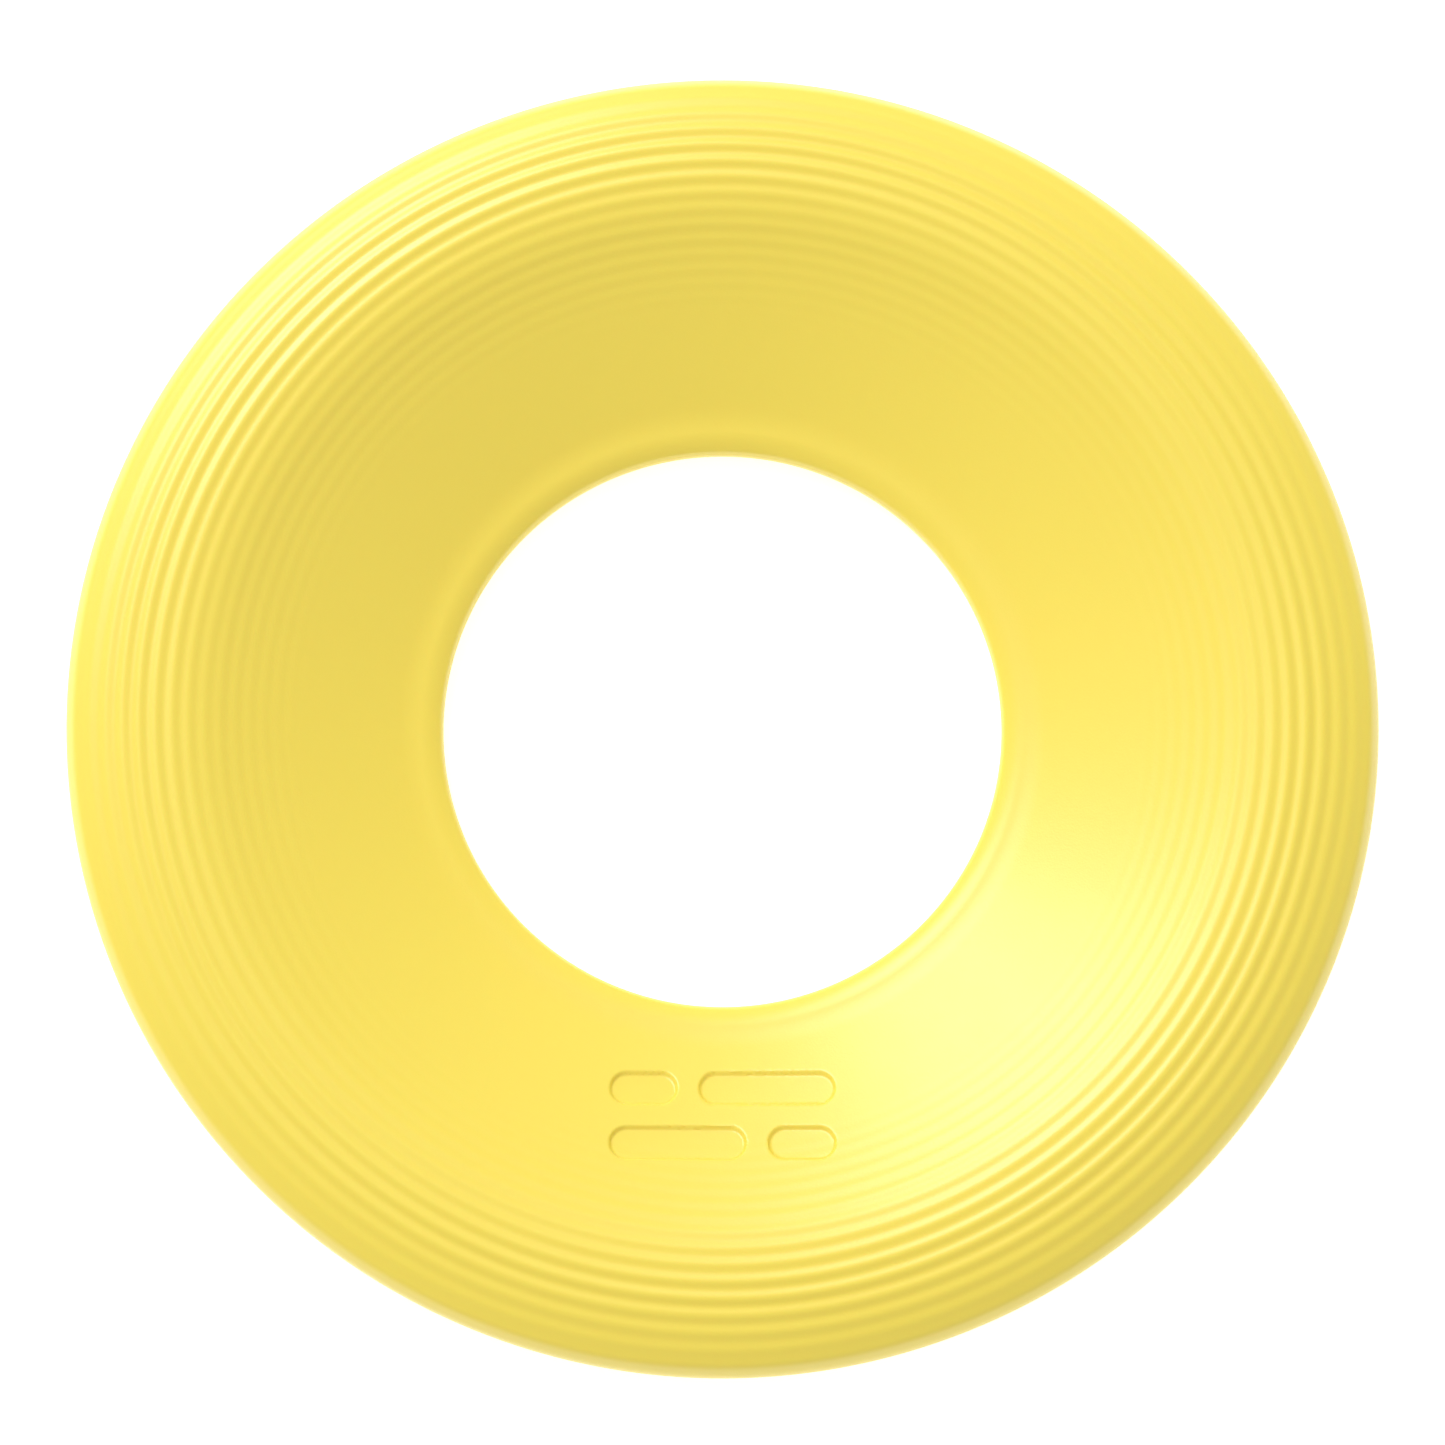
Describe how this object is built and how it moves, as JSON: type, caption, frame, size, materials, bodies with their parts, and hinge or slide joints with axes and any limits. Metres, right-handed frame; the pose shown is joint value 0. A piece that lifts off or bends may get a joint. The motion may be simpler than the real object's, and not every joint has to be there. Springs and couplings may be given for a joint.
{
  "type": "throwing ring",
  "caption": "Soft rubber throwing and juggling ring: funnel-shaped front with fine concentric ridges, rolled rim, smooth back and an open centre hole.",
  "frame": {"origin": "on the ground at the centre of the hole, with the ring lying on its back", "axes": "+Z along the ring's axis, out of the ribbed funnel face; the debossed bars sit on the -Y side"},
  "size_m": [0.23, 0.23, 0.0263],
  "materials": {
    "ribbed_rubber": "satin",
    "smooth_rubber": "satin",
    "closed_cell_foam": "matt"
  },
  "bodies": {
    "root": {"front_shell": "ribbed_rubber", "rear_shell": "smooth_rubber", "foam_core": "closed_cell_foam"}
  },
  "joints": []
}
